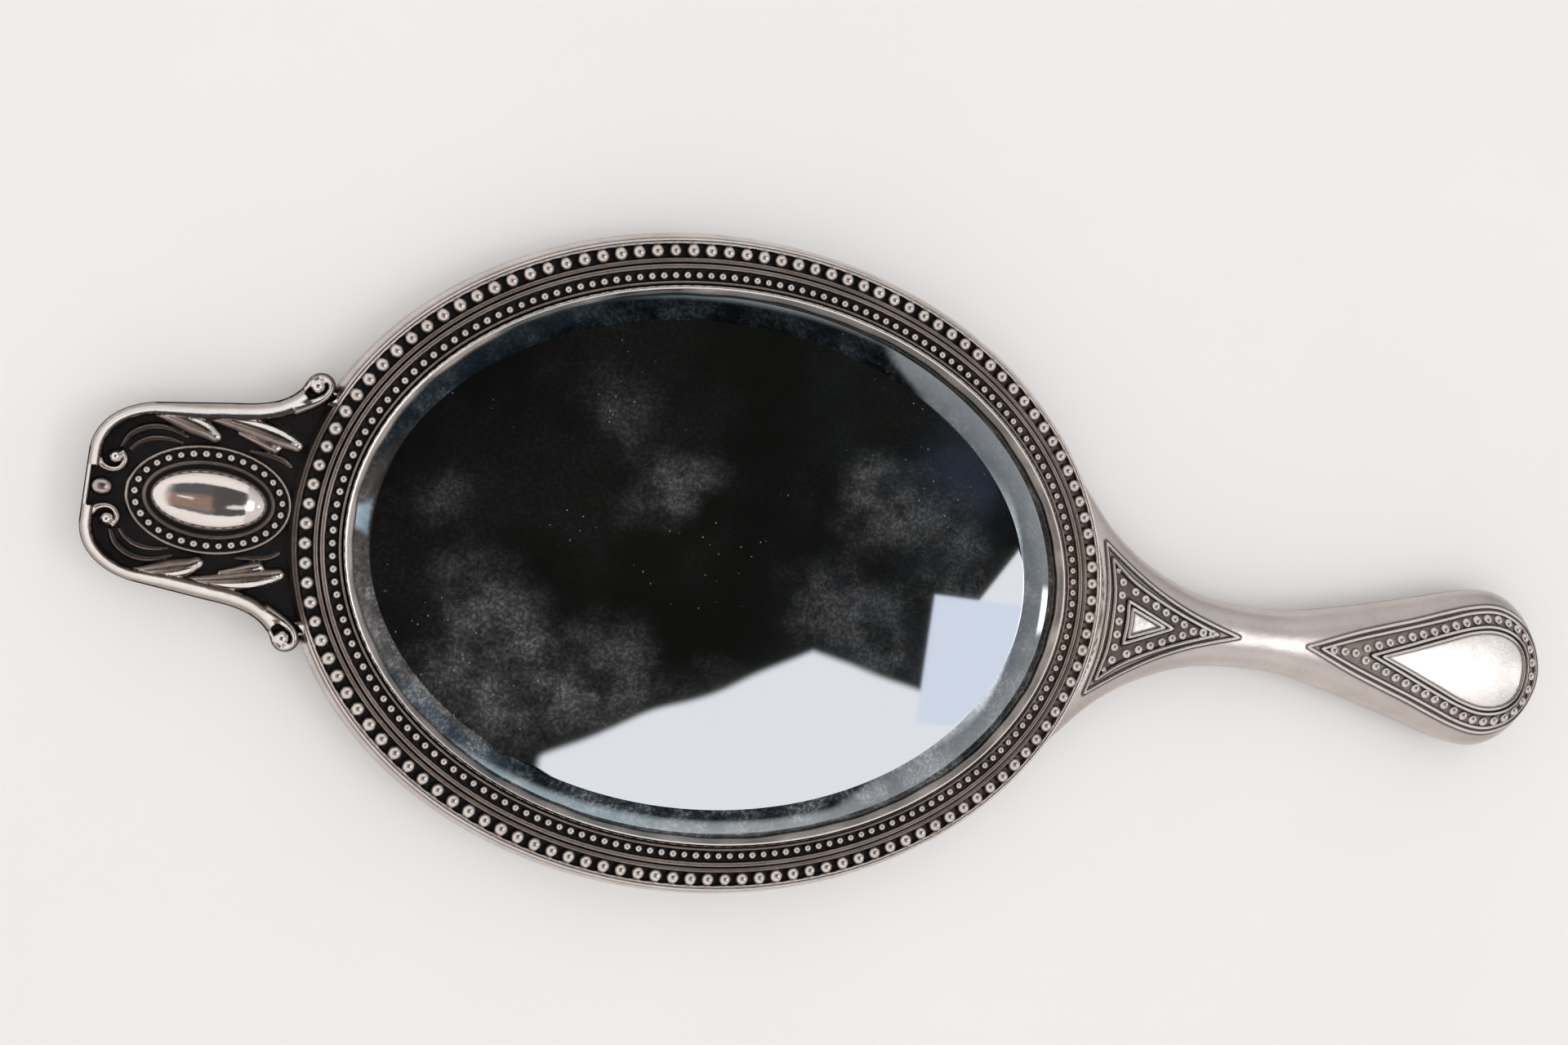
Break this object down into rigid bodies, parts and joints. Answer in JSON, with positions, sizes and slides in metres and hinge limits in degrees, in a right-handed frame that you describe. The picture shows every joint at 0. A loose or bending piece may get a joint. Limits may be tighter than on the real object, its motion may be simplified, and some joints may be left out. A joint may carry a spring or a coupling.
{
  "type": "hand mirror",
  "caption": "Antique silver hand mirror with a beaded oval rim, bevelled glass, scrolled crest and pear-shaped handle with beaded panels.",
  "frame": {"origin": "centre of the mirror's overall box, on the surface that its back lies on", "axes": "+X along the handle, away from the head; +Z out of the glass; +Y across, to the left when looking along the handle from the head"},
  "size_m": [0.2809, 0.113, 0.0128],
  "materials": {
    "silver_satin": "worn satin silver, dark in the recesses",
    "silver_bright": "polished silver",
    "silver_aged": "oxidised silver with polished bead tops",
    "mirror_plate": "bevelled plate glass, silvered behind",
    "mirror_coating": "silvering with backing paint",
    "card": "grey board",
    "felt": "thin wool felt",
    "core_wood": "plain sawn board",
    "iron": "dark forged iron",
    "pitch": "black pitch filler"
  },
  "bodies": {
    "root": {"front_shell": "silver_satin", "back_shell": "silver_satin", "glass_bezel": "silver_bright", "outer_bead_border": "silver_aged", "inner_bead_border": "silver_aged", "back_bead_border": "silver_aged", "crest_bead_border": "silver_aged", "neck_bead_border": "silver_aged", "grip_bead_border": "silver_aged", "crest_boss": "silver_bright", "mirror_glass": "mirror_plate", "silver_coating": "mirror_coating", "backing_card": "card", "felt_pad": "felt", "head_core": "core_wood", "handle_tang": "iron", "tang_screw_1": "iron", "tang_screw_2": "iron", "rim_filler": "pitch", "crest_filler": "pitch", "handle_filler": "pitch"}
  },
  "joints": []
}
